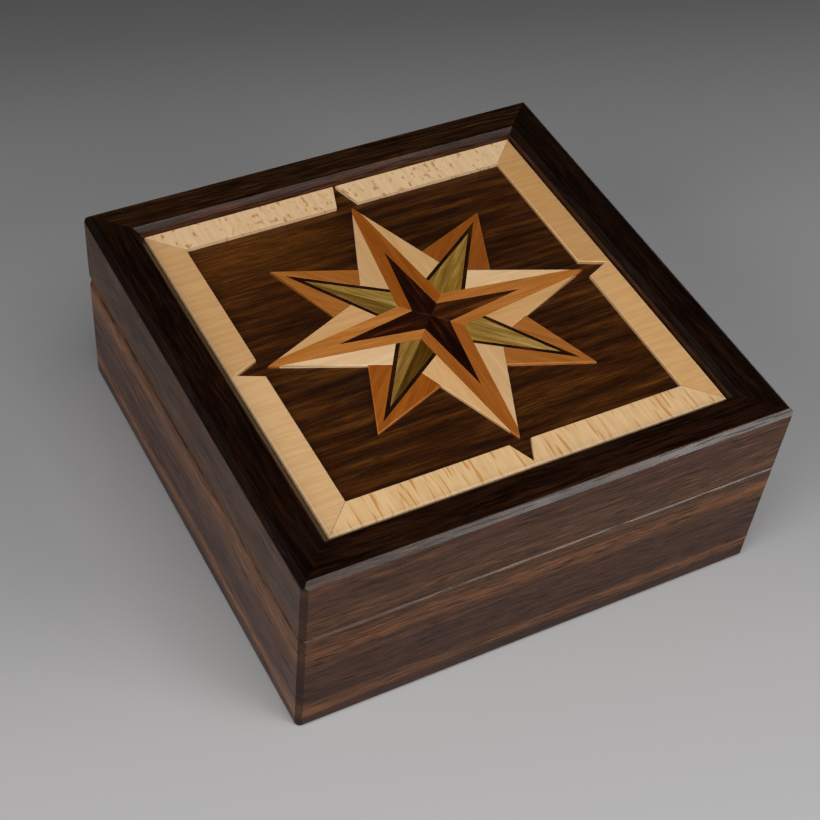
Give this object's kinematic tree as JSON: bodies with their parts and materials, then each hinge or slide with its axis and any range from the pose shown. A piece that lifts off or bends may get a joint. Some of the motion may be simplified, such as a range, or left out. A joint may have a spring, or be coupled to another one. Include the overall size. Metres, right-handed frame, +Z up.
{
  "type": "inlaid wooden box",
  "caption": "Square walnut keepsake box with a hinged lid: a sunk walnut field, a raised maple border and a raised compass star inlaid in contrasting woods.",
  "frame": {"origin": "middle of the underside", "axes": "+X right, +Y towards the hinged back, +Z up"},
  "size_m": [0.1524, 0.1524, 0.0643],
  "materials": {
    "walnut": "satin lacquer over dark walnut",
    "maple": "satin lacquer over maple",
    "cherry": "satin lacquer over an orange wood",
    "dark_wood": "satin lacquer over a near-black wood",
    "green_wood": "satin lacquer over a green-gold wood",
    "green_wood_dark": "satin lacquer over a dark olive wood",
    "felt": "matt brown felt",
    "brass": "brushed brass, lightly toned"
  },
  "bodies": {
    "base": {"base_front": "walnut", "base_right": "walnut", "base_back": "walnut", "base_left": "walnut", "base_bottom": "walnut", "base_lining": "felt", "hinge_base_leaf_left": "brass", "hinge_base_leaf_right": "brass", "hinge_pins": "brass", "base_hinge_screws": "brass"},
    "lid": {"lid_front": "walnut", "lid_right": "walnut", "lid_back": "walnut", "lid_left": "walnut", "lid_field": "walnut", "border_nne": "maple", "border_ene": "maple", "border_ese": "maple", "border_sse": "maple", "border_ssw": "maple", "border_wsw": "maple", "border_wnw": "maple", "border_nnw": "maple", "star_maple_nne": "maple", "star_maple_ene": "maple", "star_maple_ese": "maple", "star_maple_sse": "maple", "star_maple_ssw": "maple", "star_maple_wsw": "maple", "star_maple_wnw": "maple", "star_maple_nnw": "maple", "star_band_north": "cherry", "star_band_east": "cherry", "star_band_south": "cherry", "star_band_west": "cherry", "star_centre_north": "dark_wood", "star_centre_east": "dark_wood", "star_centre_south": "dark_wood", "star_centre_west": "dark_wood", "star_flank_ne": "cherry", "star_flank_se": "cherry", "star_flank_sw": "cherry", "star_flank_nw": "cherry", "star_line_ne": "dark_wood", "star_line_se": "dark_wood", "star_line_sw": "dark_wood", "star_line_nw": "dark_wood", "star_green_nne": "green_wood", "star_green_ene": "green_wood", "star_green_ese": "green_wood", "star_green_sse": "green_wood", "star_green_ssw": "green_wood_dark", "star_green_wsw": "green_wood", "star_green_wnw": "green_wood_dark", "star_green_nnw": "green_wood", "hinge_lid_leaf_left": "brass", "hinge_lid_leaf_right": "brass", "lid_hinge_screws": "brass"}
  },
  "joints": [
    {"name": "lid_hinge", "type": "hinge", "parent": "base", "child": "lid", "pos_m": [0, 0.074, 0.0407], "axis": [-1, 0, 0], "range_deg": [0, 95]}
  ]
}
